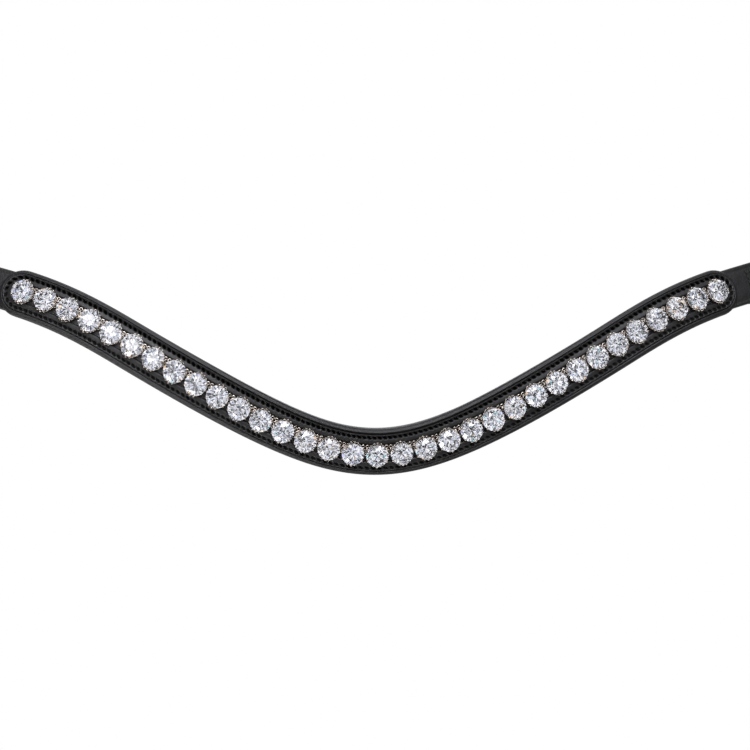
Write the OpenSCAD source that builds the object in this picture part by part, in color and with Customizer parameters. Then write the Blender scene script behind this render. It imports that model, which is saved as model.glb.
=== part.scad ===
// Browband of a riding bridle: a wave-shaped padded leather band with a row of claw-set
// round stones in a channel, and a strap loop at each end for the bridle's headpiece.
// Millimetres, +Z up, front face towards -Y. The origin is on the back of the lining, at
// the middle of the brow. Places on the band are given as s (along it, 0 at the middle),
// w (across it, up is positive) and n (out of its face, 0 on the back of the base leather).

/* [Stones] */
// Number of stones, one of them at the middle of the brow
stone_count = 33; // [21:2:39]
// Distance between stones along the band
stone_pitch = 9.5; // [9.2:0.1:12]
// Diameter of a stone at its girdle
stone_d = 8.9; // [7:0.1:9.1]
// Diameter of a stone's flat table, over its corners
table_d = 5.1; // [4:0.1:5.4]
// Height of a stone above its girdle
crown_h = 1.4; // [0.9:0.1:1.7]
// Thickness of a stone's girdle
girdle_t = 0.3; // [0.2:0.05:0.5]
// Depth of a stone below its girdle
pavilion_h = 3.8; // [3:0.1:4.2]
// Radius at which a stone's lower girdle facets end
lower_facet_r = 0.95; // [0.7:0.05:1.4]

/* [Settings] */
// Number of claws that hold a stone
claw_count = 6; // [4:2:8]
// Thickness of a setting's metal
claw_t = 0.35; // [0.3:0.05:0.6]
// Width of a claw at the girdle
claw_w = 0.7; // [0.5:0.1:1.2]
// How far a claw reaches over the edge of its stone
claw_tip_l = 0.5; // [0.4:0.1:0.8]
// Diameter of a setting's foot ring
foot_d = 6; // [5:0.1:6.4]
// Height of a setting's foot ring
foot_h = 0.9; // [0.6:0.1:1.2]
// Height of the gallery ring between foot and girdle
gallery_h = 0.6; // [0.4:0.1:0.9]
// Height of the gallery ring's underside above the channel floor
gallery_lift = 2.2; // [1.8:0.1:2.6]
// Height of a stone's point above the channel floor
point_lift = 0.6; // [0.3:0.1:1.2]
// Clearance between a stone and its setting
stone_fit = 0.08; // [0.05:0.01:0.15]
// Number of oval rings side by side in a link between two settings
link_rings = 3; // [1:1:3]
// Wire diameter of the link rings
link_wire = 0.45; // [0.3:0.05:0.5]
// Clearance of the link rings from each other, the foot rings and the tacks
link_fit = 0.1; // [0.05:0.05:0.2]
// Height of a link's middle above the band's centre line
link_lift = 0.95; // [0:0.05:1]
// Thread diameter of the tacks that hold the links down
tack_d = 0.4; // [0.3:0.05:0.5]

/* [Leather] */
// Width of each raised border beside the channel
border_w = 4.3; // [3.6:0.1:7]
// Width of the base leather's rim outside a raised border
rim_w = 1.8; // [0.8:0.1:3]
// Thickness of the raised border leather
border_t = 1.4; // [1.2:0.1:2.6]
// Thickness of the base leather
base_t = 2.2; // [1.4:0.1:3]
// Thickness of the lining at its edges
lining_t = 1.2; // [0.9:0.1:2]
// How far the lining swells at its middle
lining_crown = 0.6; // [0.2:0.1:1.5]
// Thickness of the glue lines between the layers
glue_t = 0.1; // [0.05:0.01:0.15]
// Rounding of the leather edges
edge_round = 0.4; // [0.2:0.05:0.6]
// Clearance between a foot ring and the channel's walls
channel_fit = 0.4; // [0.2:0.1:0.8]
// Distance from the last stone to the centre of the band's round end
end_margin = 1.5; // [1:0.1:10]

/* [Wave] */
// Steepest slope of the wings in degrees
wing_slope = 28; // [5:1:35]
// Distance over which the slope builds up from the middle
wave_run = 32; // [26:1:60]
// Distance from the middle at which the wings start to level off
ease_from = 105; // [80:1:120]
// Distance from the middle at which the wings have levelled off
ease_to = 176; // [150:1:220]
// Slope of the levelled ends in degrees
end_slope = 8; // [0:1:20]
// Radius of the bend round the forehead
brow_radius = 395; // [250:5:900]
// Twist of the ends in degrees, with the face turned up
end_twist = 26; // [0:1:30]
// Distance over which the twist builds up from the middle
twist_run = 168; // [120:1:220]

/* [Stitching] */
// Distance between stitches
stitch_pitch = 2.2; // [2:0.1:3.5]
// Visible length of a stitch
stitch_l = 1.6; // [1.2:0.1:1.9]
// Thread diameter
thread_d = 0.7; // [0.5:0.05:0.9]
// Distance from a raised border's outer edge to the seam
seam_inset = 1.5; // [1.2:0.1:2]
// Depth of the groove that the seam lies in
seam_depth = 0.5; // [0.3:0.05:0.6]

/* [Loops] */
// Width of the loop straps
strap_w = 16; // [10:0.5:17]
// Thickness of the loop straps, which the padding matches
strap_t = 2.2; // [1.6:0.1:3]
// Length of a strap's tongue inside the band
tongue_l = 14; // [8:0.5:20]
// Distance from the band's end to the line on which a loop flexes
neck_l = 3; // [2.4:0.1:6]
// Clearance on the flex line, and between the padding and a tongue
flex_fit = 0.3; // [0.2:0.05:0.5]
// Length of a loop's slot, for the width of the headpiece
slot_l = 32; // [24:1:45]
// Opening of a loop's slot, for the thickness of the headpiece
slot_gap = 10; // [9:0.5:14]
// Length of the strap's tail that is sewn back on itself
tail_l = 6; // [5:0.5:12]
// Distance from the flex line to the start of the tail
tail_start = 3; // [2:0.5:6]

/* [Hidden] */
$fn = 48;
leather_black = [0.09, 0.09, 0.1];
lining_black = [0.13, 0.13, 0.14];
padding_grey = [0.22, 0.22, 0.23];
thread_black = [0.05, 0.05, 0.05];
stone_white = [0.88, 0.92, 0.97];
setting_silver = [0.8, 0.79, 0.76];

// Main sizes of the band, worked out from the stones outwards
stone_r = stone_d / 2;
table_r = table_d / 2;
foot_r = foot_d / 2;
channel_r = foot_r + channel_fit;
border_r = channel_r + border_w;
band_r = border_r + rim_w;
lining_r = band_r - rim_w / 2;
seam_r = border_r - seam_inset;
stones_a_side = (stone_count - 1) / 2;
end_centre = stones_a_side * stone_pitch + end_margin;
band_end = end_centre + band_r;
flex_s = band_end + neck_l;

// Heights of the layers, from the back of the base leather
pad_t = strap_t;
pad_n = -glue_t - pad_t;
lining_n = pad_n - glue_t;
back_n = lining_n - lining_t - lining_crown;
floor_n = base_t + glue_t;
face_n = floor_n + border_t;
seam_n = face_n - seam_depth;

// Heights in a setting, from the channel floor up
girdle_low = point_lift + pavilion_h;
girdle_high = girdle_low + girdle_t;
cup_r = stone_r + stone_fit + claw_t;

// Steps along the band: of the worked-out spine, and of the leather's cross-sections
spine_step = 1;
section_step = 4;
end_turn = 12;
last_turn = 84;

// The spine: slope, bend and twist at a distance a from the middle, in degrees
function smooth(t) = let (c = min(max(t, 0), 1)) c * c * (3 - 2 * c);
function tanh(x) = 1 - 2 / (exp(2 * x) + 1);
function eased(a) = smooth((a - ease_from) / (ease_to - ease_from));
function slope(a) = tanh(a / wave_run) * (wing_slope + (end_slope - wing_slope) * eased(a));
function bend(a) = a / brow_radius * 180 / PI;
function twist(a) = end_twist * smooth(a / twist_run);
function along(a) = [cos(slope(a)) * cos(bend(a)), sin(bend(a)), sin(slope(a)) * cos(bend(a))];
function flat_across(a) = [-sin(slope(a)), 0, cos(slope(a))];
function flat_out(a) = [sin(bend(a)) * cos(slope(a)), -cos(bend(a)), sin(bend(a)) * sin(slope(a))];
function side_of(s) = s < 0 ? -1 : 1;
function mirrored(s, v) = [side_of(s) * v.x, v.y, v.z];
function across(s) = let (a = abs(s))
    mirrored(s, cos(twist(a)) * flat_across(a) - sin(twist(a)) * flat_out(a));
function outward(s) = let (a = abs(s))
    mirrored(s, cos(twist(a)) * flat_out(a) + sin(twist(a)) * flat_across(a));
function forward(s) = side_of(s) * mirrored(s, along(abs(s)));

spine_steps = ceil((flex_s + spine_step) / spine_step) + 1;
spine = [
    for (i = 0, p = [0, back_n, 0];
        i <= spine_steps;
        p = p + spine_step * along((i + 0.5) * spine_step), i = i + 1) p
];
function spine_at(s) = let (
    a = abs(s) / spine_step,
    i = floor(a)
) mirrored(s, spine[i] + (spine[i + 1] - spine[i]) * (a - i));
function place(s, w, n) = spine_at(s) + w * across(s) + n * outward(s);

// Stations of the leather's cross-sections, closer together round the ends
straight_count = ceil(2 * end_centre / section_step);
straight_stations = [for (i = [0:straight_count]) (2 * i / straight_count - 1) * end_centre];
end_turns = [for (t = [end_turn:end_turn:last_turn]) t];
function half_width(s, r) = abs(s) <= end_centre ? r
    : sqrt(max(pow(r, 2) - pow(abs(s) - end_centre, 2), 0));
function plate_stations(r) = concat(
    [for (i = [len(end_turns) - 1:-1:0]) -end_centre - r * sin(end_turns[i])],
    straight_stations,
    [for (t = end_turns) end_centre + r * sin(t)]
);

function crystal_name(k) = str("crystal_", k < 10 ? "0" : "", k);

// A solid through rings of points, all of one length, with flat ends or closed on itself.
// The two halves of a ring cut their quads on opposite diagonals, so that the back of one
// twisted layer matches the front of the next.
module skin(rings, closed = false) {
    m = len(rings);
    c = len(rings[0]);
    last = closed ? m - 1 : m - 2;
    sides = [
        for (i = [0:last], j = [0:c - 1])
        let (a = i * c, b = ((i + 1) % m) * c, k = (j + 1) % c)
        each 2 * j < c
            ? [[a + j, b + k, a + k], [a + j, b + j, b + k]]
            : [[a + j, b + j, a + k], [a + k, b + j, b + k]]
    ];
    ends = closed ? [] : [
        for (j = [1:c - 2]) each [[0, j, j + 1], [(m - 1) * c, (m - 1) * c + j + 1, (m - 1) * c + j]]
    ];
    polyhedron([for (r = rings, p = r) p], concat(sides, ends));
}

// Cross-section of a flat layer from height n0 to n1, with edges eased by up to e0
function plate_section(h, n0, n1, e0 = edge_round) = let (e = min(e0, (n1 - n0) / 3, h / 3)) [
    [-h + e, n0], [h - e, n0], [h, n0 + e], [h, n1 - e],
    [h - e, n1], [-h + e, n1], [-h, n1 - e], [-h, n0 + e]
];

// Cross-section of the lining, which swells towards its middle
function lining_section(h) = let (
    top = lining_n,
    low = top - lining_t,
    e = min(edge_round, lining_t / 3, h / 3),
    swell = lining_crown * h / lining_r
) [
    [-h + e, low], [-h / 2, low - swell * 3 / 4], [0, low - swell], [h / 2, low - swell * 3 / 4],
    [h - e, low], [h, low + e], [h, top - e], [h - e, top], [-h + e, top], [-h, top - e], [-h, low + e]
];

function section_ring(s, points) = [for (p = points) place(s, p.x, p.y)];

module lining() {
    color(lining_black)
    skin([for (s = plate_stations(lining_r)) section_ring(s, lining_section(half_width(s, lining_r)))]);
}

// The padding stops short of the strap tongues that share its layer
module padding() {
    stop = band_end - tongue_l - flex_fit;
    pad_r = lining_r - edge_round;
    inner = [for (s = plate_stations(pad_r)) if (abs(s) < stop - edge_round) s];
    color(padding_grey)
    skin([
        for (s = concat([-stop], inner, [stop]))
        section_ring(s, plate_section(half_width(s, pad_r), pad_n, -glue_t))
    ]);
}

module base_leather() {
    color(leather_black)
    skin([
        for (s = plate_stations(band_r))
        section_ring(s, plate_section(half_width(s, band_r), 0, base_t, rim_w / 2))
    ]);
}

// The raised border runs round the channel in one piece, with a groove for the seam.
// Each station has the centre that it turns about and the way out from it.
border_stations = concat(
    [for (s = straight_stations) [s, 0, 1]],
    [for (t = [end_turn:end_turn:180 - end_turn]) [end_centre, sin(t), cos(t)]],
    [for (s = straight_stations) [-s, 0, -1]],
    [for (t = [end_turn:end_turn:180 - end_turn]) [-end_centre, -sin(t), -cos(t)]]
);
groove_foot = 0.57 * thread_d;
groove_lip = 0.8 * thread_d;
border_section = [
    [channel_r, floor_n], [border_r, floor_n], [border_r, face_n - edge_round],
    [border_r - edge_round, face_n], [seam_r + groove_lip, face_n], [seam_r + groove_foot, seam_n],
    [seam_r - groove_foot, seam_n], [seam_r - groove_lip, face_n],
    [channel_r + edge_round, face_n], [channel_r, face_n - edge_round]
];

module border_leather() {
    color(leather_black)
    skin([
        for (t = border_stations)
        [for (p = border_section) place(t[0] + p.x * t[1], p.x * t[2], p.y)]
    ], closed = true);
}

// A straight round rod from point a to point b
module rod(a, b, d) {
    v = b - a;
    l = norm(v);
    translate(a) rotate([0, acos(v.z / l), atan2(v.y, v.x)]) cylinder(d = d, h = l, $fn = 16);
}

// One row of the seam, along the upper (+1) or the lower (-1) border and half round both ends
module seam_row(way) {
    runs = floor(2 * end_centre / stitch_pitch);
    turns = floor(PI / 2 * seam_r / stitch_pitch);
    n = seam_n + thread_d / 2;
    half_turn = stitch_l / seam_r * 90 / PI;
    for (i = [0:runs - 1]) {
        s = ((2 * i + 1) / runs - 1) * end_centre;
        rod(place(s - stitch_l / 2, way * seam_r, n), place(s + stitch_l / 2, way * seam_r, n), thread_d);
    }
    for (end = [-1, 1], i = [0:turns - 1]) {
        t = (i + 0.5) / turns * 90;
        rod(end_place(end, way, t - half_turn, n), end_place(end, way, t + half_turn, n), thread_d);
    }
}
function end_place(end, way, t, n) =
    place(end * (end_centre + seam_r * sin(t)), way * seam_r * cos(t), n);

module upper_stitching() {
    color(thread_black) seam_row(1);
}

module lower_stitching() {
    color(thread_black) seam_row(-1);
}

// Puts its children on the band, with X along it, Y across it and Z out of its face
module on_band(s, n) {
    x = forward(s);
    y = across(s);
    z = outward(s);
    o = place(s, 0, n);
    multmatrix([
        [x.x, y.x, z.x, o.x],
        [x.y, y.y, z.y, o.y],
        [x.z, y.z, z.z, o.z],
        [0, 0, 0, 1]
    ]) children();
}
function stone_s(k) = (k - 1 - stones_a_side) * stone_pitch;

// A round brilliant of eight-fold symmetry, with its point at the origin and its table up
facets = 8;
facet_step = 360 / facets;
star_r = (table_r * cos(facet_step / 2) + stone_r) / 2;
star_z = crown_h * (stone_r - star_r * cos(facet_step / 2)) / (stone_r - table_r);
lower_z = pavilion_h * lower_facet_r * cos(facet_step / 2) / stone_r;
function around(r, a, z) = [r * cos(a), r * sin(a), z];

module brilliant() {
    top = pavilion_h + girdle_t;
    ring = [for (i = [0:facets - 1]) i];
    table = 0;
    star = facets;
    high = 2 * facets;
    low = 4 * facets;
    half = 6 * facets;
    point = 7 * facets;
    points = concat(
        [for (i = ring) around(table_r, i * facet_step, top + crown_h)],
        [for (i = ring) around(star_r, (i + 0.5) * facet_step, top + star_z)],
        [for (i = [0:2 * facets - 1]) around(stone_r, i * facet_step / 2, top)],
        [for (i = [0:2 * facets - 1]) around(stone_r, i * facet_step / 2, pavilion_h)],
        [for (i = ring) around(lower_facet_r, (i + 0.5) * facet_step, lower_z)],
        [[0, 0, 0]]
    );
    crown = [
        for (i = ring)
        let (j = (i + 1) % facets, p = (i + facets - 1) % facets, g = 2 * i, h = (g + 2) % (2 * facets))
        each [
            [star + i, table + i, table + j],
            [table + i, high + g, star + p], [table + i, star + i, high + g],
            [star + i, high + g + 1, high + g], [star + i, high + h, high + g + 1]
        ]
    ];
    girdle = [
        for (g = [0:2 * facets - 1])
        let (h = (g + 1) % (2 * facets))
        each [[high + g, low + h, low + g], [high + g, high + h, low + h]]
    ];
    pavilion = [
        for (i = ring)
        let (p = (i + facets - 1) % facets, g = 2 * i, h = (g + 2) % (2 * facets))
        each [
            [half + i, low + g, low + g + 1], [half + i, low + g + 1, low + h],
            [point, half + p, low + g], [point, low + g, half + i]
        ]
    ];
    table_fan = [for (i = [1:facets - 2]) [table, table + i + 1, table + i]];
    polyhedron(points, concat(table_fan, crown, girdle, pavilion));
}

module crystal(k) {
    color(stone_white)
    on_band(stone_s(k), floor_n + point_lift) brilliant();
}

// An open setting: foot ring, gallery ring and claws bent over the stone's edge
crown_pitch = star_z / (stone_r - star_r);
tip_r = stone_r - claw_tip_l;
tip_low = girdle_high + claw_tip_l * crown_pitch + stone_fit;
claw_half_turn = asin(claw_w / 2 / cup_r);
gap_half_turn = 180 / claw_count - claw_half_turn;

module gallery_gap(z0, z1) {
    reach = 2 * cup_r;
    translate([0, 0, z0]) linear_extrude(z1 - z0) polygon([
        [0, 0],
        reach * [cos(gap_half_turn), -sin(gap_half_turn)],
        reach * [cos(gap_half_turn), sin(gap_half_turn)]
    ]);
}

module setting() {
    top = tip_low + claw_t;
    difference() {
        rotate_extrude() polygon([
            [foot_r - claw_t, 0], [foot_r, 0], [foot_r, foot_h], [cup_r, girdle_low - claw_t],
            [cup_r, girdle_high + claw_t / 2], [tip_r, top], [tip_r, tip_low],
            [cup_r - claw_t, girdle_high + stone_fit], [cup_r - claw_t, girdle_low - claw_t],
            [foot_r - claw_t, foot_h]
        ]);
        for (i = [0:claw_count - 1]) rotate(i * 360 / claw_count) {
            gallery_gap(foot_h, gallery_lift);
            gallery_gap(gallery_lift + gallery_h, top + claw_t);
        }
    }
}

module claw_settings() {
    color(setting_silver)
    for (k = [1:stone_count]) on_band(stone_s(k), floor_n) setting();
}

// Oval wire rings that link each foot ring to the next, side by side across the channel.
// A ring's hole is as wide as a tack with its clearance.
link_l = stone_pitch - foot_d - 2 * link_fit;
link_w = 2 * link_wire + tack_d + 2 * link_fit;
link_step = link_w + link_fit;
ring_r = (link_w - link_wire) / 2;
ring_run = link_l - link_w;
function link_s(k) = stone_s(k) + stone_pitch / 2;
function ring_w(i) = link_lift + (i - (link_rings - 1) / 2) * link_step;

module link_ring() {
    for (end = [0, 1]) rotate(180 * end) {
        translate([ring_run / 2, 0, 0]) rotate(-90) rotate_extrude(angle = 180)
            translate([ring_r, 0]) circle(d = link_wire, $fn = 16);
        translate([-ring_run / 2, ring_r, 0]) rotate([0, 90, 0])
            cylinder(d = link_wire, h = ring_run, $fn = 16);
    }
}

module setting_links() {
    color(setting_silver)
    for (k = [1:stone_count - 1]) on_band(link_s(k), floor_n)
        for (i = [0:link_rings - 1]) translate([0, ring_w(i), link_wire / 2]) link_ring();
}

// A thread tack over the lowest wire of each link, down into the base leather on both sides
module tack() {
    leg_w = ring_r;
    bar_n = link_wire + tack_d / 2;
    translate([0, ring_w(0) - ring_r, 0]) {
        rotate([90, 0, 0]) translate([0, bar_n, -leg_w]) cylinder(d = tack_d, h = 2 * leg_w, $fn = 16);
        for (side = [-1, 1]) translate([0, side * leg_w, 0]) {
            cylinder(d = tack_d, h = bar_n, $fn = 16);
            translate([0, 0, bar_n]) sphere(d = tack_d, $fn = 16);
        }
    }
}

module chain_tacks() {
    color(thread_black)
    for (k = [1:stone_count - 1]) on_band(link_s(k), floor_n) tack();
}

// The right end's pieces, drawn mirrored for the left end
module on_side(side) {
    if (side > 0) children();
    else mirror([1, 0, 0]) children();
}

// The strap's tongue lies in the padding's layer and stops at the flex line
module loop_tongue(side) {
    from = band_end - tongue_l;
    to = flex_s - strap_t / 2 - flex_fit;
    steps = ceil((to - from) / section_step);
    color(leather_black) on_side(side)
    skin([
        for (i = [0:steps])
        section_ring(from + (to - from) * i / steps, plate_section(strap_w / 2, pad_n, -glue_t))
    ]);
}

// Puts its children on the right flex line, with X along the strap, Y out of its face and
// Z along the line, at the middle of the strap's thickness and width
module on_flex_line() {
    x = forward(flex_s);
    y = outward(flex_s);
    z = -across(flex_s);
    o = place(flex_s, 0, pad_n + strap_t / 2);
    multmatrix([
        [x.x, y.x, z.x, o.x],
        [x.y, y.y, z.y, o.y],
        [x.z, y.z, z.z, o.z],
        [0, 0, 0, 1]
    ]) children();
}

// Lengths along a loop from its flex line
tail_end = tail_start + tail_l;
fold_r = slot_gap / 2;
return_mid = fold_r;
back_start = tail_end + 2 * return_mid;
fold_centre = tail_end + return_mid + strap_t / 2 + slot_l - fold_r;

// A strap run from x0 to x1 whose mid-plane lies at y
module strap_run(x0, x1, y) {
    translate([x0, y - strap_t / 2, -strap_w / 2]) cube([x1 - x0, strap_t, strap_w]);
}

// A strap bend about the point [x, y], from angle a0 through turn, of mean radius r
module strap_bend(x, y, a0, turn, r) {
    translate([x, y, -strap_w / 2]) rotate(a0)
        rotate_extrude(angle = turn) translate([r - strap_t / 2, 0]) square([strap_t, strap_w]);
}

module loop(side) {
    back_y = -slot_gap - strap_t;
    fold_mid = fold_r + strap_t / 2;
    color(leather_black) on_side(side) on_flex_line() {
        translate([0, 0, -strap_w / 2]) cylinder(d = strap_t, h = strap_w);
        strap_run(0, fold_centre, 0);
        strap_bend(fold_centre, -fold_mid, -90, 180, fold_mid);
        strap_run(back_start, fold_centre, back_y);
        strap_bend(back_start, back_y + return_mid, 180, 90, return_mid);
        strap_bend(back_start - 2 * return_mid, back_y + return_mid, 0, 90, return_mid);
        strap_run(tail_start, tail_end, -strap_t);
    }
}

// Two rows of stitches across the sewn tail, seen on both its faces
module loop_stitching(side) {
    rows = 2;
    count = floor((strap_w - 2 * stitch_pitch) / stitch_pitch);
    color(thread_black) on_side(side) on_flex_line()
    for (r = [1:rows], i = [0:count - 1], y = [strap_t / 2 + thread_d / 2, -1.5 * strap_t - thread_d / 2]) {
        x = tail_start + tail_l * r / (rows + 1);
        z = (i - (count - 1) / 2) * stitch_pitch;
        rod([x, y, z - stitch_l / 2], [x, y, z + stitch_l / 2], thread_d);
    }
}

lining();
padding();
base_leather();
border_leather();
upper_stitching();
lower_stitching();
claw_settings();
setting_links();
chain_tacks();
loop_tongue(-1);  // left_loop_tongue
loop_tongue(1);  // right_loop_tongue
loop(-1);  // left_loop
loop(1);  // right_loop
loop_stitching(-1);  // left_loop_stitching
loop_stitching(1);  // right_loop_stitching
for (k = [1:stone_count]) crystal(k);
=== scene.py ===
"""Looks of a browband for a riding bridle.

A wave-shaped band of layered black leather holds a row of claw-set round stones in a sewn
channel, and has a strap loop for the bridle's headpiece at each end. Sizes are in
millimetres, as in the part's source, and become metres when a mesh is made. Places on the
band are s (along it, 0 at the middle), w (across it, up is positive) and n (out of its face,
0 on the back of the base leather).
"""

import logging
import math
from dataclasses import dataclass, field
from enum import Enum

import bpy
import numpy as np
from mathutils import Matrix, Vector


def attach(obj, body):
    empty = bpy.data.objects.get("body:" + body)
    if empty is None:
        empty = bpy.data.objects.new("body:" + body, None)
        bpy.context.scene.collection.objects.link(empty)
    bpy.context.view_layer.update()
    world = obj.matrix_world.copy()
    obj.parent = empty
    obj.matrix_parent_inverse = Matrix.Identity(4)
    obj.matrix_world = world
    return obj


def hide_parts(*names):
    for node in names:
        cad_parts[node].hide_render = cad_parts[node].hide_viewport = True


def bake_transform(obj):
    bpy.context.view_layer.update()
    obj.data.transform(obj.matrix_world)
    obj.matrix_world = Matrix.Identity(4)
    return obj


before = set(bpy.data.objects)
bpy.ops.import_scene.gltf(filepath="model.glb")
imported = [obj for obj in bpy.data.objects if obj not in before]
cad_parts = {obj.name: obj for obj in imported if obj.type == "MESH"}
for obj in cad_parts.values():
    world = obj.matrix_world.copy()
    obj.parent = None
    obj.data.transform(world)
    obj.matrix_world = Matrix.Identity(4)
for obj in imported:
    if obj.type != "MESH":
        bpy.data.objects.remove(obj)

LOG = logging.getLogger("browband")
MM = 0.001
BAND = "band"
Triple = tuple[float, float, float]
# Leather marks: share of grain, cut edge, and painted shade in the stitch slits.
LEATHER_MARKS = ("grain_share", "cut_edge", "stitch_slit_shade")


class Side(Enum):
    """The two ends of the band, with the sign of X on each."""

    LEFT = -1
    RIGHT = 1

    @property
    def word(self) -> str:
        """The side's name as the part's nodes spell it."""
        return self.name.lower()


class Row(Enum):
    """The two long runs of the seam, with the sign of w on each."""

    UPPER = 1
    LOWER = -1


@dataclass(frozen=True)
class BandSizes:
    """Sizes of the band's layers, stones and seam, in millimetres."""

    stone_count: int = 33
    stone_pitch: float = 9.5
    foot_d: float = 6.0
    channel_fit: float = 0.4
    border_w: float = 4.3
    rim_w: float = 1.8
    border_t: float = 1.4
    base_t: float = 2.2
    lining_t: float = 1.2
    lining_crown: float = 0.6
    glue_t: float = 0.1
    end_margin: float = 1.5
    stitch_pitch: float = 2.2
    thread_d: float = 0.7
    seam_inset: float = 1.5
    strap_w: float = 16.0
    strap_t: float = 2.2
    tongue_l: float = 14.0
    neck_l: float = 3.0

    @property
    def channel_r(self) -> float:
        """Half the width of the channel."""
        return self.foot_d / 2 + self.channel_fit

    @property
    def border_r(self) -> float:
        """Distance of the raised border's outer edge from the band's centre line."""
        return self.channel_r + self.border_w

    @property
    def band_r(self) -> float:
        """Half the width of the band, and the radius of its round ends."""
        return self.border_r + self.rim_w

    @property
    def lining_r(self) -> float:
        """Half the width of the padded lining."""
        return self.band_r - self.rim_w / 2

    @property
    def seam_r(self) -> float:
        """Distance of the seam from the band's centre line."""
        return self.border_r - self.seam_inset

    @property
    def end_centre(self) -> float:
        """Distance along the band to the centre of its round end."""
        return (self.stone_count - 1) / 2 * self.stone_pitch + self.end_margin

    @property
    def band_end(self) -> float:
        """Distance along the band to the tip of its round end."""
        return self.end_centre + self.band_r

    @property
    def flex_s(self) -> float:
        """Distance along the band to the line on which a loop flexes."""
        return self.band_end + self.neck_l

    @property
    def pad_n(self) -> float:
        """Height of the back of the padding."""
        return -self.glue_t - self.strap_t

    @property
    def lining_n(self) -> float:
        """Height of the front of the lining."""
        return self.pad_n - self.glue_t

    @property
    def back_n(self) -> float:
        """Height of the lining's crown, the back of the whole band."""
        return self.lining_n - self.lining_t - self.lining_crown

    @property
    def floor_n(self) -> float:
        """Height of the channel's floor."""
        return self.base_t + self.glue_t

    @property
    def face_n(self) -> float:
        """Height of the raised border's face."""
        return self.floor_n + self.border_t


SIZES = BandSizes()


def smooth_step(t: np.ndarray) -> np.ndarray:
    """Eases from 0 to 1 as t goes from 0 to 1, level at both ends.

    Args:
        t: Position in the step, held to 0..1.

    Returns:
        3 t squared less 2 t cubed.
    """
    c = np.clip(t, 0.0, 1.0)
    return c * c * (3.0 - 2.0 * c)


@dataclass(frozen=True)
class Wave:
    """How the band slopes, bends and twists along its length, in millimetres and degrees."""

    wing_slope: float = 28.0
    run: float = 32.0
    ease_from: float = 105.0
    ease_to: float = 176.0
    end_slope: float = 8.0
    brow_radius: float = 395.0
    end_twist: float = 26.0
    twist_run: float = 168.0
    step: float = 0.25

    def slope(self, a: np.ndarray) -> np.ndarray:
        """Slope of the band: a tanh rise to the wings that eases off at the ends.

        Args:
            a: Distances from the middle.

        Returns:
            Slopes in radians.
        """
        eased = smooth_step((a - self.ease_from) / (self.ease_to - self.ease_from))
        level = self.wing_slope + (self.end_slope - self.wing_slope) * eased
        return np.radians(np.tanh(a / self.run) * level)

    def bend(self, a: np.ndarray) -> np.ndarray:
        """Bend round the forehead in radians at distance a: arc length over radius."""
        return a / self.brow_radius

    def twist(self, a: np.ndarray) -> np.ndarray:
        """Twist in radians at distance a, with the face turned up towards the ends."""
        return np.radians(self.end_twist) * smooth_step(a / self.twist_run)


class BandPath:
    """The band's spine in space, and the directions along, across and out of the band."""

    def __init__(self, wave: Wave, sizes: BandSizes) -> None:
        """Adds up the spine from short straight steps, starting at the middle of the brow.

        Args:
            wave: The band's curves.
            sizes: The band's layers, for the height of the spine and its length.
        """
        self.wave = wave
        reach = sizes.flex_s + 2.0
        middles = np.arange(0.5 * wave.step, reach, wave.step)
        steps = self._frame(middles)[0] * wave.step
        start = np.array([[0.0, sizes.back_n, 0.0]])
        self._at = np.concatenate([[0.0], middles + 0.5 * wave.step])
        self._spine = np.concatenate([start, start + np.cumsum(steps, axis=0)])

    def _frame(self, a: np.ndarray) -> tuple[np.ndarray, np.ndarray, np.ndarray]:
        """Directions on the right half: along slopes and bends, and the others twist about it.

        Args:
            a: Distances from the middle.

        Returns:
            Unit vectors along, across and out of the band.
        """
        slope, bend, twist = self.wave.slope(a), self.wave.bend(a), self.wave.twist(a)
        flat = np.zeros_like(slope)
        along = np.stack(
            [np.cos(slope) * np.cos(bend), np.sin(bend), np.sin(slope) * np.cos(bend)], -1
        )
        level = np.stack([-np.sin(slope), flat, np.cos(slope)], -1)
        facing = np.stack(
            [np.sin(bend) * np.cos(slope), -np.cos(bend), np.sin(bend) * np.sin(slope)], -1
        )
        c, q = np.cos(twist)[..., None], np.sin(twist)[..., None]
        return along, c * level - q * facing, c * facing + q * level

    def frame(self, s: np.ndarray) -> tuple[np.ndarray, np.ndarray, np.ndarray]:
        """Directions at s, with the left half mirrored from the right.

        Args:
            s: Distances along the band, any shape.

        Returns:
            Unit vectors along, across and out of the band, each of s's shape by 3.
        """
        s = np.asarray(s, float)
        side = np.where(s < 0, -1.0, 1.0)[..., None]
        mirror = np.concatenate([side, np.ones_like(side), np.ones_like(side)], -1)
        along, across, outward = self._frame(np.abs(s))
        return side * along * mirror, across * mirror, outward * mirror

    def place(self, s: np.ndarray, w: np.ndarray, n: np.ndarray) -> np.ndarray:
        """Points on the band: the spine at s, plus w across and n out of the face.

        Args:
            s: Distances along the band.
            w: Distances across it.
            n: Heights off the back of the base leather.

        Returns:
            Points in millimetres, of the arrays' common shape by 3.
        """
        s, w, n = np.broadcast_arrays(*(np.asarray(v, float) for v in (s, w, n)))
        a = np.abs(s)
        spine = np.stack([np.interp(a, self._at, self._spine[:, k]) for k in range(3)], -1)
        spine[..., 0] *= np.where(s < 0, -1.0, 1.0)
        _, across, outward = self.frame(s)
        return spine + w[..., None] * across + n[..., None] * outward

    def mount(self, s: np.ndarray, n: float, local: np.ndarray) -> np.ndarray:
        """Copies of a small part set on the band, X along it, Y across and Z out of its face.

        Args:
            s: Distances along the band, one for each copy.
            n: Height of the part's zero.
            local: The part's points, alike for all copies or one set for each.

        Returns:
            Points of shape copies by points by 3.
        """
        axes = np.stack(self.frame(s), -2)
        return self.place(s, 0.0, n)[:, None, :] + local @ axes


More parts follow.
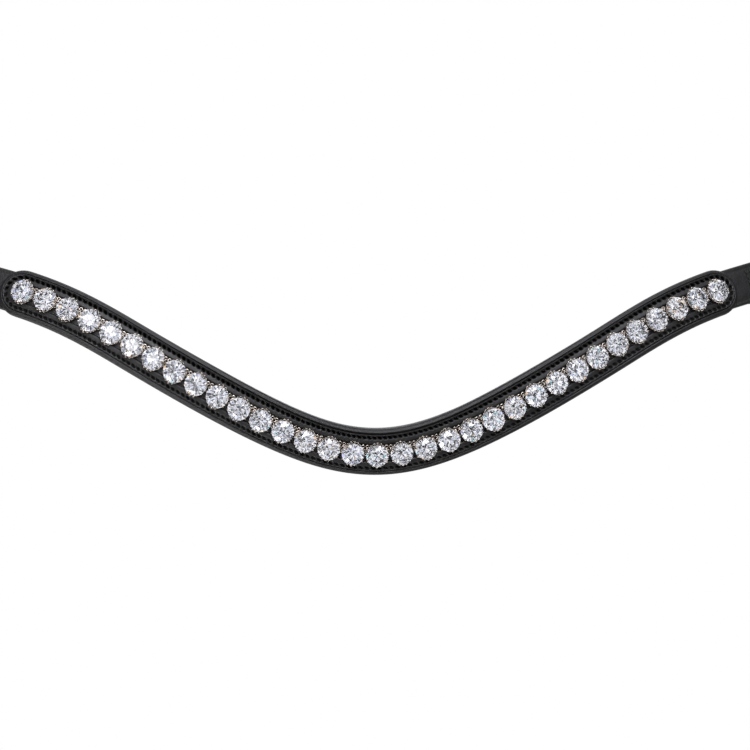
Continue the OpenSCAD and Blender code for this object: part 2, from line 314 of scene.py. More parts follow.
@dataclass
class Shell:
    """Points in millimetres, the faces between them and the values that the points carry.

    Faces are rows of four corners. A triangle repeats a corner.
    """

    points: np.ndarray
    faces: np.ndarray
    marks: dict[str, np.ndarray] = field(default_factory=dict)

    def welded(self) -> "Shell":
        """Joins points that lie in one place, so that seams and poles are closed.

        Returns:
            The shell without doubles.
        """
        _, first, inverse = np.unique(
            np.round(self.points, 5), axis=0, return_index=True, return_inverse=True
        )
        marks = {name: values[first] for name, values in self.marks.items()}
        return Shell(self.points[first], inverse.reshape(-1)[self.faces], marks)

    def outward(self) -> "Shell":
        """Turns the faces round if the closed shell's volume comes out negative.

        Returns:
            The shell with its faces pointing out.
        """
        a, b, c, d = (self.points[self.faces[:, k]] for k in range(4))
        volume = np.sum(a * np.cross(b, c)) + np.sum(a * np.cross(c, d))
        faces = self.faces if volume > 0 else self.faces[:, ::-1]
        return Shell(self.points, faces, self.marks)

    def polygons(self) -> tuple[np.ndarray, np.ndarray]:
        """Sorts the faces into quads and triangles and drops those with no area.

        Returns:
            The quads' corners and the triangles' corners.
        """
        repeated = self.faces == np.roll(self.faces, -1, axis=1)
        count = repeated.sum(axis=1)
        thirds = self.faces[count == 1][~repeated[count == 1]].reshape(-1, 3)
        return self.faces[count == 0], thirds


def joined(shells: list[Shell]) -> Shell:
    """Puts several shells into one.

    Args:
        shells: Shells that carry the same marks.

    Returns:
        One shell with all their points and faces.
    """
    starts = np.cumsum([0] + [len(s.points) for s in shells[:-1]])
    faces = np.concatenate([s.faces + k for s, k in zip(shells, starts)])
    marks = {m: np.concatenate([s.marks[m] for s in shells]) for m in shells[0].marks}
    return Shell(np.concatenate([s.points for s in shells]), faces, marks)


def grid_faces(rows: int, columns: int, round_rows: bool, round_columns: bool) -> np.ndarray:
    """Quads between neighbouring points of a grid.

    Args:
        rows: Number of rows of points.
        columns: Number of points in a row.
        round_rows: Whether the last row joins the first.
        round_columns: Whether each row joins its own start.

    Returns:
        Corners of the quads, four to a row.
    """
    i, j = np.meshgrid(
        np.arange(rows if round_rows else rows - 1),
        np.arange(columns if round_columns else columns - 1),
        indexing="ij",
    )
    k, m = (i + 1) % rows, (j + 1) % columns
    corners = [i * columns + j, k * columns + j, k * columns + m, i * columns + m]
    return np.stack(corners, -1).reshape(-1, 4)


def copies(points: np.ndarray, faces: np.ndarray) -> Shell:
    """A shell of many copies of one small part.

    Args:
        points: Points of shape copies by points by 3.
        faces: The faces of one copy.

    Returns:
        All copies in one shell.
    """
    count, size, _ = points.shape
    starts = (np.arange(count) * size)[:, None, None]
    return Shell(points.reshape(-1, 3), (faces[None] + starts).reshape(-1, 4))


def arc(x: float, y: float, radius: float, start: float, stop: float, count: int) -> np.ndarray:
    """Points on an arc about (x, y).

    Args:
        x: Centre's first coordinate.
        y: Centre's second coordinate.
        radius: The arc's radius.
        start: Angle of the first point in degrees.
        stop: Angle of the last point in degrees.
        count: Number of points.

    Returns:
        Points of shape count by 2.
    """
    t = np.radians(np.linspace(start, stop, count))
    return np.stack([x + radius * np.cos(t), y + radius * np.sin(t)], -1)


def tube(path: np.ndarray, radius: np.ndarray, sides: int, up: np.ndarray) -> Shell:
    """A round rod along an open path, closed to a point at both ends.

    Each ring lies square to the path, spanned by up and by the direction's cross product
    with it.

    Args:
        path: Points of the path, of shape rings by 3.
        radius: The rod's radius at each point.
        sides: Number of points in a ring.
        up: A direction that the path never follows.

    Returns:
        The rod as a closed shell.
    """
    way = np.gradient(path, axis=0)
    across = np.cross(way, up)
    across /= np.linalg.norm(across, axis=1, keepdims=True)
    over = np.cross(across, way)
    over /= np.linalg.norm(over, axis=1, keepdims=True)
    t = np.linspace(0, 2 * np.pi, sides, endpoint=False)
    ring = np.cos(t)[None, :, None] * across[:, None] + np.sin(t)[None, :, None] * over[:, None]
    points = path[:, None] + radius[:, None, None] * ring
    ends = [path[:1, None].repeat(sides, 1), path[-1:, None].repeat(sides, 1)]
    points = np.concatenate([ends[0], points, ends[1]])
    faces = grid_faces(len(points), sides, False, True)
    return Shell(points.reshape(-1, 3), faces).welded().outward()


def wire(path: np.ndarray, out: np.ndarray, radius: float, sides: int) -> Shell:
    """A round wire along a closed path.

    Each ring is spanned by out and by the direction's cross product with it.

    Args:
        path: Points of the path in order.
        out: A unit direction at each point, square to the path.
        radius: The wire's radius.
        sides: Number of points in a ring.

    Returns:
        The wire as a closed shell.
    """
    way = np.roll(path, -1, axis=0) - np.roll(path, 1, axis=0)
    over = np.cross(way, out)
    over /= np.linalg.norm(over, axis=1, keepdims=True)
    t = np.linspace(0, 2 * np.pi, sides, endpoint=False)[None, :, None]
    ring = np.cos(t) * out[:, None] + np.sin(t) * over[:, None]
    points = path[:, None] + radius * ring
    return Shell(points.reshape(-1, 3), grid_faces(len(path), sides, True, True)).outward()


def turned(profile: np.ndarray, sides: int) -> Shell:
    """A closed profile of radius and height turned about Z.

    Args:
        profile: Points of radius and height.
        sides: Number of steps round the axis.

    Returns:
        The ring as a closed shell.
    """
    t = np.linspace(0, 2 * np.pi, sides, endpoint=False)[:, None]
    radius, height = profile[:, 0][None], profile[:, 1][None] + 0 * t
    points = np.stack([radius * np.cos(t), radius * np.sin(t), height], -1)
    return Shell(points.reshape(-1, 3), grid_faces(sides, len(profile), True, True)).outward()


class Palette:
    """Builds a node material from few calls, with every constant on its own socket."""

    def __init__(self, name: str) -> None:
        """Starts an empty material with one Principled shader.

        Args:
            name: The material's name.
        """
        self.material = bpy.data.materials.new(name)
        self.material.use_nodes = True
        self.tree = self.material.node_tree
        self.shader = self.tree.nodes["Principled BSDF"]

    def node(self, kind: str, **settings: object) -> bpy.types.Node:
        """Adds a node and sets its properties, or its inputs where a name is an input's.

        Args:
            kind: The node's class name.
            settings: Values by property name or by input name with _ for a space.

        Returns:
            The new node.
        """
        made = self.tree.nodes.new(kind)
        for name, value in settings.items():
            if hasattr(made, name):
                setattr(made, name, value)
            else:
                made.inputs[name.replace("_", " ")].default_value = value
        return made

    def link(self, source: bpy.types.NodeSocket, target: bpy.types.NodeSocket) -> None:
        """Joins an output to an input."""
        self.tree.links.new(source, target)

    def feed(self, name: str, source: bpy.types.NodeSocket) -> None:
        """Joins an output to the shader's input of that name."""
        self.link(source, self.shader.inputs[name])

    def fix(self, name: str, value: float) -> None:
        """Sets a constant on the shader's own input of that name."""
        self.shader.inputs[name].default_value = value

    def coordinates(self) -> bpy.types.NodeSocket:
        """The piece's own coordinates in metres."""
        return self.node("ShaderNodeTexCoord").outputs["Object"]

    def mark(self, name: str) -> bpy.types.NodeSocket:
        """The value of that name which the piece's points carry."""
        return self.node("ShaderNodeAttribute", attribute_name=name).outputs["Fac"]

    def noise(self, size: float, detail: float = 3.0) -> bpy.types.NodeSocket:
        """Soft noise on the piece.

        Args:
            size: Width of a feature in metres.
            detail: Number of finer layers.

        Returns:
            The noise's socket, 0..1.
        """
        made = self.node("ShaderNodeTexNoise", Scale=1.0 / size, Detail=detail)
        self.link(self.coordinates(), made.inputs["Vector"])
        return made.outputs["Fac"]

    def cells(self, size: float) -> bpy.types.NodeSocket:
        """Distance to the nearest of scattered points.

        Args:
            size: Spacing of the points in metres.

        Returns:
            The distance's socket.
        """
        made = self.node("ShaderNodeTexVoronoi", Scale=1.0 / size)
        self.link(self.coordinates(), made.inputs["Vector"])
        return made.outputs["Distance"]

    def math(self, operation: str, first: object, second: object = 0.0) -> bpy.types.NodeSocket:
        """One sum on two sockets or numbers.

        Args:
            operation: The Math node's operation.
            first: A socket or a number.
            second: A socket or a number.

        Returns:
            The result's socket.
        """
        made = self.node("ShaderNodeMath", operation=operation)
        for value, target in ((first, made.inputs[0]), (second, made.inputs[1])):
            if isinstance(value, (int, float)):
                target.default_value = value
            else:
                self.link(value, target)
        return made.outputs[0]

    def span(self, source: bpy.types.NodeSocket, low: float, high: float) -> bpy.types.NodeSocket:
        """Maps 0..1 to low..high.

        Args:
            source: A socket of 0..1.
            low: The result at 0.
            high: The result at 1.

        Returns:
            The result's socket.
        """
        made = self.node("ShaderNodeMapRange")
        self.link(source, made.inputs["Value"])
        made.inputs["To Min"].default_value = low
        made.inputs["To Max"].default_value = high
        return made.outputs["Result"]

    def blend(
        self, share: bpy.types.NodeSocket, first: object, second: object
    ) -> bpy.types.NodeSocket:
        """Mixes two colours.

        Args:
            share: How much of the second colour, 0..1.
            first: A colour's three numbers or a socket.
            second: A colour's three numbers or a socket.

        Returns:
            The mixed colour's socket.
        """
        made = self.node("ShaderNodeMix", data_type="RGBA")
        self.link(share, made.inputs[0])
        for value, target in ((first, made.inputs[6]), (second, made.inputs[7])):
            if isinstance(value, tuple):
                target.default_value = (*value, 1.0)
            else:
                self.link(value, target)
        return made.outputs[2]

    def bump(self, height: bpy.types.NodeSocket, depth: float) -> None:
        """Dents the surface by a height times a depth.

        Args:
            height: A socket of 0..1.
            depth: Metres that a height of 1 stands for.
        """
        made = self.node("ShaderNodeBump", Distance=depth)
        self.link(height, made.inputs["Height"])
        self.feed("Normal", made.outputs["Normal"])


@dataclass(frozen=True)
class LeatherFinish:
    """Dyed leather: pebbled grain on its faces, burnished cut edges, and painted shade in the
    stitch slits.

    Pores and creases are sized as shares of the grain.
    """

    name: str
    colour: Triple
    worn: Triple
    roughness: float
    grain: float = 0.8 * MM
    depth: float = 0.10 * MM
    gloss: float = 0.8
    edge_roughness: float = 0.45
    slit_shade_colour: Triple = (0.001, 0.001, 0.001)
    slit_roughness: float = 0.4
    slit_shade_gloss: float = 0.05
    wear_from: float = -0.4
    crease_size: float = 5.0
    crease_roughness: float = 0.10
    crease_relief: float = 0.5
    pore_size: float = 0.25
    pore_roughness: float = 0.05
    pore_relief: float = 0.12

    def build(self) -> bpy.types.Material:
        """Makes the material. It reads the three leather marks on the piece.

        Returns:
            The new material.
        """
        made = Palette(self.name)
        share, edge, hole = (made.mark(m) for m in LEATHER_MARKS)
        pebbles = made.cells(self.grain)
        pores = made.noise(self.pore_size * self.grain, 2.0)
        creases = made.noise(self.crease_size * self.grain, 4.0)
        worn = made.blend(made.span(creases, self.wear_from, 1.0), self.colour, self.worn)
        # Painted shade: the slit mark turns the colour near black at the bottoms of the stitch
        # slits.
        made.feed("Base Color", made.blend(hole, worn, self.slit_shade_colour))
        uneven = made.span(creases, -self.crease_roughness, self.crease_roughness)
        rough = made.math("ADD", uneven, self.roughness)
        rough = made.math("ADD", rough, made.span(pores, -self.pore_roughness, self.pore_roughness))
        burnish = made.math("MULTIPLY", edge, self.edge_roughness - self.roughness)
        rough = made.math("ADD", rough, burnish)
        frayed = made.math("MULTIPLY", hole, self.slit_roughness)
        made.feed("Roughness", made.math("ADD", rough, frayed))
        relief = made.math("MULTIPLY", made.math("SUBTRACT", 1.0, pebbles), share)
        for pattern, height in ((pores, self.pore_relief), (creases, self.crease_relief)):
            relief = made.math("ADD", relief, made.math("MULTIPLY", pattern, height))
        made.bump(relief, self.depth)
        # Painted shade: the slit mark also takes the gloss away in the stitch slits.
        made.feed("Specular IOR Level", made.span(hole, self.gloss, self.slit_shade_gloss))
        return made.material


@dataclass(frozen=True)
class ThreadFinish:
    """Waxed thread with a fine lay."""

    name: str
    colour: Triple
    roughness: float = 0.5
    spread: float = 0.1
    lay: float = 0.22 * MM
    depth: float = 0.08 * MM
    lighter: float = 1.8

    def build(self) -> bpy.types.Material:
        """Makes the material.

        Returns:
            The new material.
        """
        made = Palette(self.name)
        strands = made.noise(self.lay, 2.0)
        light = tuple(self.lighter * c for c in self.colour)
        made.feed("Base Color", made.blend(strands, self.colour, light))
        low, high = self.roughness - self.spread, self.roughness + self.spread
        made.feed("Roughness", made.span(strands, low, high))
        made.bump(strands, self.depth)
        return made.material


@dataclass(frozen=True)
class SilverFinish:
    """Polished silver-coloured metal with a slightly warm tone, duller and rougher in patches at
    random.
    """

    name: str
    bright: Triple
    dull: Triple
    roughness: float = 0.22
    duller: float = 0.12
    brighter: float = 0.1
    patch: float = 1.6 * MM
    ripple: float = 0.5 * MM
    depth: float = 0.03 * MM

    def build(self) -> bpy.types.Material:
        """Makes the material.

        Returns:
            The new material.
        """
        made = Palette(self.name)
        patches = made.noise(self.patch, 3.0)
        made.feed("Base Color", made.blend(patches, self.dull, self.bright))
        dull, bright = self.roughness + self.duller, self.roughness - self.brighter
        made.feed("Roughness", made.span(patches, dull, bright))
        made.bump(made.noise(self.ripple, 2.0), self.depth)
        made.fix("Metallic", 1.0)
        return made.material


@dataclass(frozen=True)
class CrystalFinish:
    """Clear cut stone of high refraction, whose facets carry painted light: painted shade on some
    and painted colour fire on a few.
    """

    name: str
    refraction: float = 2.15
    roughness: float = 0.045

    def build(self) -> bpy.types.Material:
        """Makes the material. Its colour is read from the stone's faces, which carry painted shade
        and painted colour fire.

        Returns:
            The new material.
        """
        made = Palette(self.name)
        facet_light = made.node("ShaderNodeAttribute", attribute_name="facet_painted_light").outputs["Color"]
        # The facets' painted shade and painted colour fire become the stone's colour.
        made.feed("Base Color", facet_light)
        made.fix("Roughness", self.roughness)
        made.fix("IOR", self.refraction)
        made.fix("Transmission Weight", 1.0)
        return made.material


@dataclass(frozen=True)
class PaperFinish:
    """White studio paper, plain white to the camera and through glass."""

    name: str
    colour: Triple = (0.9, 0.9, 0.9)
    roughness: float = 0.9

    def build(self) -> bpy.types.Material:
        """Makes the material, matt for the light that falls on it and white to look at.

        Returns:
            The new material.
        """
        made = Palette(self.name)
        made.shader.inputs["Base Color"].default_value = (*self.colour, 1.0)
        made.fix("Roughness", self.roughness)
        rays = made.node("ShaderNodeLightPath").outputs
        seen = made.math("MAXIMUM", rays["Is Camera Ray"], rays["Is Transmission Ray"])
        white = made.node("ShaderNodeEmission")
        mix = made.node("ShaderNodeMixShader")
        made.link(seen, mix.inputs[0])
        made.link(made.shader.outputs[0], mix.inputs[1])
        made.link(white.outputs[0], mix.inputs[2])
        made.link(mix.outputs[0], made.tree.nodes["Material Output"].inputs["Surface"])
        return made.material


BLACK_LEATHER = LeatherFinish(
    "black_leather", (0.006, 0.006, 0.0065), (0.012, 0.012, 0.0125), 0.50
)
LINING_LEATHER = LeatherFinish(
    "lining_leather", (0.016, 0.016, 0.017), (0.028, 0.028, 0.029), 0.55, 0.6 * MM, 0.07 * MM
)
BLACK_THREAD = ThreadFinish("black_thread", (0.009, 0.009, 0.009))
SILVER = SilverFinish("warm_silver", (1.0, 0.93, 0.85), (0.84, 0.74, 0.65), 0.25)
CRYSTAL = CrystalFinish("clear_crystal")
PAPER = PaperFinish("white_paper")


def tied(
    name: str, mesh: bpy.types.Mesh, nodes: tuple[str, ...], body: str
) -> bpy.types.Object:
    """Puts a finished mesh into the scene at the origin, ties it to the part and reports it.

    Args:
        name: The piece's name.
        mesh: Its mesh, in place.
        nodes: The part's nodes that it stands for.
        body: The body that it rides on, or nothing for a piece tied to no body.

    Returns:
        The new object.
    """
    thing = bpy.data.objects.new(name, mesh)
    bpy.context.scene.collection.objects.link(thing)
    if body:
        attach(thing, body)
    if nodes:
        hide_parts(*nodes)
    LOG.info("%s: %d faces", name, len(mesh.polygons))
    return thing


@dataclass
class Piece:
    """A finished mesh with what it stands for in the part."""

    name: str
    shell: Shell
    material: bpy.types.Material
    slot: str
    stands_for: tuple[str, ...] = ()
    body: str = BAND

    def build(self) -> bpy.types.Object:
        """Makes the mesh with its marks and ties it to the part.

        Returns:
            The new object.
        """
        quads, thirds = self.shell.polygons()
        mesh = bpy.data.meshes.new(self.name)
        mesh.from_pydata(self.shell.points * MM, [], quads.tolist() + thirds.tolist())
        mesh.polygons.foreach_set("use_smooth", np.full(len(mesh.polygons), True))
        for mark, values in self.shell.marks.items():
            made = mesh.attributes.new(mark, "FLOAT", "POINT")
            made.data.foreach_set("value", values.astype(np.float32))
        mesh.materials.append(self.material)
        mesh.update()
        return tied(self.name, mesh, self.stands_for, self.body)


@dataclass(frozen=True)
class Seam:
    """The seam round the band, counted in stitches, whole numbers being the needle's holes."""

    sizes: BandSizes = SIZES

    @property
    def runs(self) -> int:
        """Stitches in a long run."""
        return math.floor(2 * self.sizes.end_centre / self.sizes.stitch_pitch)

    @property
    def turns(self) -> int:
        """Stitches in a quarter of a round end."""
        return math.floor(math.pi / 2 * self.sizes.seam_r / self.sizes.stitch_pitch)

    def spot(self, row: Row, x: np.ndarray) -> tuple[np.ndarray, np.ndarray, np.ndarray]:
        """Where stitch number x of a row is.

        Args:
            row: The upper or the lower run.
            x: Stitch numbers: 0 to runs on the straight, turns more round each end.

        Returns:
            The centre's s that each spot turns about, and its way out along s and along w.
        """
        over = np.clip(x - self.runs, 0, None) - np.clip(-x, 0, None)
        t = np.radians(90.0) * over / self.turns
        centre = (2 * np.clip(x, 0, self.runs) / self.runs - 1) * self.sizes.end_centre
        return centre, np.sin(t), row.value * np.cos(t)

    def track(self, fineness: int) -> tuple[np.ndarray, np.ndarray, np.ndarray, np.ndarray]:
        """Stations once round the band, in order.

        Args:
            fineness: Stations for each stitch.

        Returns:
            Stitch numbers, then the three values of spot for each.
        """
        first, last = -self.turns, self.runs + self.turns
        x = np.linspace(first, last, (last - first) * fineness + 1)
        upper, lower = self.spot(Row.UPPER, x[:-1]), self.spot(Row.LOWER, x[:0:-1])
        numbers = np.concatenate([x[:-1], x[:0:-1]])
        return numbers, *(np.concatenate(pair) for pair in zip(upper, lower))


def marked(points: np.ndarray, faces: np.ndarray, *values: np.ndarray | float) -> Shell:
    """A shell of leather with the three leather marks on its points.

    Args:
        points: Points of stations by points by 3.
        faces: The faces between them.
        values: The marks in their order, each a number or an array that fits the points.

    Returns:
        The shell.
    """
    spread = (np.broadcast_to(value, points.shape[:-1]).reshape(-1) for value in values)
    return Shell(points.reshape(-1, 3), faces, dict(zip(LEATHER_MARKS, spread)))


@dataclass
class LeatherBand:
    """The band's leather: raised border, base and padded lining, each swept round the band.

    Radii, widths, depths and gaps are in millimetres. lean and the falls are slopes of the
    border's flats, and wander, the lower run's share of the slits' painted shade and the values
    named grain or smooth are shares.
    """

    path: BandPath
    seam: Seam
    sizes: BandSizes = SIZES
    wander: float = 0.003
    wander_rate: float = 0.21
    slit_across: float = 0.66
    slit_along: float = 0.78
    slit_slant: float = 0.45
    slit_depth: float = 0.8
    lower_slit_shade: float = 0.7
    inner_r: float = 0.8
    outer_r: float = 0.12
    lip_inset: float = 0.3
    trough: float = 0.16
    trough_w: float = 0.6
    lean: float = 0.25
    upper_fall: float = 0.08
    lower_fall: float = 0.13
    lower_fall_run: float = 1.2
    inner_smooth: float = 0.75
    wall_smooth: float = 0.8
    rim_gap: float = 0.15
    rim_rise: float = 0.7
    rim_under_r: float = 0.85
    roll_angles: tuple[int, ...] = (90, 81, 74, 68, 62, 56, 49, 42, 36, 30, 22, 11, 0)
    ply_step: float = 0.10
    ply_lines: tuple[int, ...] = (4, 8)
    ply_depth: float = 0.12
    crease_lift: tuple[float, float] = (0.9, 0.6)
    roll_lift: float = 0.3
    base_grain: float = 0.7
    rim_smooth: float = 0.6
    lining_grain: float = 0.8
    lining_roll_r: float = 1.15
    lining_dip: float = 0.35
    lining_dip_w: float = 0.55
    lining_slit: float = 0.22
    tongue_fit: float = 0.4

    def swept(self, profile: np.ndarray, fineness: int, closed: bool) -> tuple[np.ndarray, ...]:
        """Carries a profile round the band, whose edges wander a little as cut leather does.

        Args:
            profile: Points of distance from the centre line and height.
            fineness: Stations for each stitch.
            closed: Whether the profile is a closed loop.

        Returns:
            Arrays of s, w, height, distance and stitch number, stations by points, and the
            faces between them.
        """
        numbers, centre, out_s, out_w = self.seam.track(fineness)
        d = profile[:, 0][None] + 0 * numbers[:, None]
        n = profile[:, 1][None] + 0 * numbers[:, None]
        wander = self.wander * np.sin(self.wander_rate * numbers)[:, None]
        d = d * (1 + wander * smooth_step(d / self.sizes.band_r))
        s = centre[:, None] + d * out_s[:, None]
        w = d * out_w[:, None]
        faces = grid_faces(len(numbers), len(profile), True, closed)
        return s, w, n, d, numbers[:, None] + 0 * d, faces

    def holes(self, d: np.ndarray, number: np.ndarray, side: np.ndarray) -> np.ndarray:
        """How deep in a needle slit a point is: a steep slanted bell at each whole stitch number.

        Args:
            d: Distances from the band's centre line.
            number: Stitch numbers.
            side: Positive in the upper run, negative in the lower.

        Returns:
            0 on the leather's face, 1 at the bottom of a slit.
        """
        across = (d - self.sizes.seam_r) / self.slit_across
        along = (number - np.round(number)) * self.sizes.stitch_pitch / self.slit_along
        along = along + self.slit_slant * across * np.sign(side)
        return np.exp(-((along**2 + across**2) ** 2))

    def border(self) -> Shell:
        """The raised border: a flat beside the channel and a trough that the seam lies in.

        Its top is the face's height, lowered along the seam by a wide bell and at each needle
        hole by a dent. Both flats fall a little away from the channel. Outside the seam it
        leans down the band, as the strip was pressed to the brow. Its inner edge is round, its
        outer edge crisp, and its wall is cut at a slant.

        Returns:
            The border as a closed shell.
        """
        z = self.sizes
        inner, outer = self.inner_r, self.outer_r
        low, high = z.floor_n, z.face_n
        lip = z.border_r - self.lip_inset
        fine, gap = 1.0, 0.15
        d = np.concatenate(
            [
                np.linspace(z.channel_r + inner + gap, z.seam_r - (fine + gap), 5),
                z.seam_r + np.linspace(-fine, fine, 16),
            ]
        )
        groove = self.trough * np.exp(-(((d - z.seam_r) / self.trough_w) ** 2))
        profile = np.concatenate(
            [
                [[z.channel_r + 0.05, low], [z.channel_r, low + 0.4]],
                arc(z.channel_r + inner, high - inner, inner, 180, 90, 8),
                np.stack([d, high - groove], -1),
                arc(lip - outer, high - outer, outer, 90, 0, 5),
                [[z.border_r - 0.15, low + 0.1], [z.border_r - 0.2, low], [z.seam_r, low]],
            ]
        )
        s, w, n, d, number, faces = self.swept(profile, 8, True)
        top = smooth_step((n - high + 0.6) / 0.3)
        hole = self.holes(d, number, w) * top
        lean = self.lean * np.clip(d - z.seam_r, 0, None) * w / d
        flat = np.clip(d - z.channel_r - inner, 0, None)
        lower = self.lower_fall * np.minimum(flat, self.lower_fall_run)
        fall = np.where(w > 0, self.upper_fall * flat, lower)
        shift = (lean - fall) * smooth_step((n - low) / z.border_t)
        points = self.path.place(s, w, n + shift - self.slit_depth * hole)
        wall = smooth_step((d - lip + 0.1) / 0.1)
        inside = smooth_step((z.seam_r - 0.6 - d) / 0.4)
        grain = (1.0 - self.inner_smooth * inside) * (1.0 - self.wall_smooth * wall)
        # Painted shade in the needle slits, weaker along the lower run.
        slit = smooth_step(2.0 * hole - 0.2) * np.where(w > 0, 1.0, self.lower_slit_shade)
        return marked(points, faces, grain, wall, slit).outward()

    def base(self) -> Shell:
        """The base leather, whose rim stands up outside the raised border and is rolled over.

        A crease parts the rim from the border. It is tight along the lower run, and fine lines
        on the roll show its plies.

        Returns:
            The base as a closed shell.
        """
        z = self.sizes
        crest, low, step = z.border_r + self.rim_gap, z.base_t / 2, self.ply_step
        inset = np.linspace(0, z.border_r - 0.2, 5)
        turn = np.radians(self.roll_angles)
        depth = 1 - self.ply_depth * np.isin(np.arange(len(turn)), self.ply_lines)
        roll = np.stack([np.cos(turn), np.sin(turn)], -1) * depth[:, None]
        roll = roll * (z.band_r - crest, z.base_t + self.rim_rise - low - step)
        under = arc(z.band_r - self.rim_under_r, self.rim_under_r, self.rim_under_r, 0, -90, 7)
        profile = np.concatenate(
            [
                np.stack([inset, 0 * inset + z.base_t], -1),
                [[z.border_r - 0.1, z.base_t - 0.2], [crest - 0.12, z.base_t + 0.3]],
                roll + (crest, low + step),
                [[z.band_r - step, low], [z.band_r, low - step]],
                under,
                np.stack([inset[::-1], 0 * inset], -1),
            ]
        )
        tight = np.zeros(len(profile))
        start = len(inset) + len(self.crease_lift)
        tight[len(inset):start] = self.crease_lift
        tight[start:start + len(turn)] = self.roll_lift * np.sin(turn)
        s, w, n, d, _, faces = self.swept(profile, 3, False)
        n = n + smooth_step(-w / z.seam_r) * tight
        wall = smooth_step((d - z.band_r + 0.5) / 0.3)
        points = self.path.place(s, w, n)
        grain = self.base_grain - self.rim_smooth * wall
        return marked(points, faces, grain, wall, 0.0).welded().outward()

    def lining(self) -> Shell:
        """The padded lining: soft leather wrapped over the padding and sewn to the base.

        Its back swells between the seams as one less the square of the distance, dips at
        them, and rolls round to the sides, which bulge. Near the ends its front is cut back
        for the strap's tongue.

        Returns:
            The lining as a closed shell.
        """
        z = self.sizes
        front, back = -z.glue_t, z.lining_n - z.lining_t
        roll, side = self.lining_roll_r, z.lining_r
        inset = np.linspace(0, side - 1.0, 5)
        d = np.concatenate(
            [np.linspace(side - roll, z.seam_r - 0.7, 8), np.linspace(z.seam_r - 0.9, 0, 9)]
        )
        swell = z.lining_crown * np.clip(1 - (d / (z.seam_r + 0.3)) ** 2, 0, 1)
        dip = self.lining_dip * np.exp(-(((d - z.seam_r) / self.lining_dip_w) ** 2))
        profile = np.concatenate(
            [
                np.stack([inset, 0 * inset + front], -1),
                [[side - 0.55, front], [side - 0.3, front - 0.15]],
                [[side - 0.12, front - 0.5], [side - 0.02, front - 1.0]],
                [[side, front - 1.6]],
                arc(side - roll, back + roll, roll, 0, -80, 8),
                np.stack([d, back - swell + dip], -1),
            ]
        )
        s, w, n, d, number, faces = self.swept(profile, 6, False)
        behind = smooth_step((back + 0.9 - n) / 0.3)
        hole = self.holes(d, number, w) * behind
        fit = self.tongue_fit
        tongue = smooth_step((np.abs(s) - z.band_end + z.tongue_l + fit) / fit)
        tongue = tongue * smooth_step((z.strap_w / 2 + 0.35 - np.abs(w)) / 0.2)
        n = np.where(n > z.lining_n, z.lining_n + (1 - tongue) * (n - z.lining_n), n)
        points = self.path.place(s, w, n + self.lining_slit * hole)
        # Painted shade in the needle slits on the back.
        slit = smooth_step(1.6 * hole - 0.3)
        return marked(points, faces, self.lining_grain, 0.0, slit).welded().outward()

    def build(self) -> None:
        """Makes the three leather pieces."""
        black, soft = BLACK_LEATHER.build(), LINING_LEATHER.build()
        Piece("border_hide", self.border(), black, "black_leather", ("border_leather",)).build()
        Piece("base_hide", self.base(), black, "black_leather", ("base_leather",)).build()
        stands_for = ("lining", "padding")
        pad = Piece("padded_lining", self.lining(), soft, "lining_leather", stands_for).build()


@dataclass
class SeamThread:
    """The seam's thread: a low hump from hole to hole, on the face and on the lining.

    Depths and the slant are in millimetres; half_run is a share of a stitch.
    """

    path: BandPath
    seam: Seam
    sizes: BandSizes = SIZES
    rings: int = 9
    sides: int = 7
    half_run: float = 0.25
    slant: float = 0.26
    dive: float = 0.7
    flatness: float = 0.9
    taper: float = 2.2
    face_depth: float = 0.50
    lining_depth: float = 0.15

    def row(self, row: Row, crest: float, out: float) -> Shell:
        """All stitches of one run.

        A stitch climbs from its hole as the root of a sine, runs a little slanted to the
        seam, and dives into the next hole.

        Args:
            row: The upper or the lower run.
            crest: Height of the thread's middle at the top of a stitch.
            out: 1 on the face, -1 on the lining.

        Returns:
            The stitches as closed rods.
        """
        q = np.linspace(0.0, 1.0, self.rings)[None, :, None]
        hump = np.sqrt(np.clip(np.sin(np.pi * q), 0, None))
        t = np.linspace(0, 2 * np.pi, self.sides, endpoint=False)[None, None, :]
        count = self.seam.runs + 2 * self.seam.turns
        first = (np.arange(count) - self.seam.turns)[:, None, None]
        x = first + 0.5 + self.half_run * (2 * q - 1)
        radius = self.sizes.thread_d / 2 * np.clip(self.taper * hump, 0, 1)
        slant = self.slant * (1 - 2 * q) * row.value
        centre, out_s, out_w = self.seam.spot(row, x)
        d = self.sizes.seam_r + slant + radius * np.cos(t)
        n = crest + out * (self.dive * (hump - 1) + self.flatness * radius * np.sin(t))
        points = self.path.place(centre + d * out_s, d * out_w, n).reshape(count, -1, 3)
        faces = grid_faces(self.rings, self.sides, False, True)
        return copies(points, faces).welded().outward()

    def build(self) -> None:
        """Makes the two rows on the face and the row on the lining."""
        black = BLACK_THREAD.build()
        face = self.sizes.face_n - self.face_depth
        lining = self.sizes.lining_n - self.sizes.lining_t + self.lining_depth
        for row in Row:
            word = row.name.lower()
            shell, node = self.row(row, face, 1.0), f"{word}_stitching"
            Piece(f"{word}_seam_thread", shell, black, "black_thread", (node,)).build()
        backs = joined([self.row(row, lining, -1.0) for row in Row])
        Piece("lining_seam_thread", backs, black, "black_thread").build()


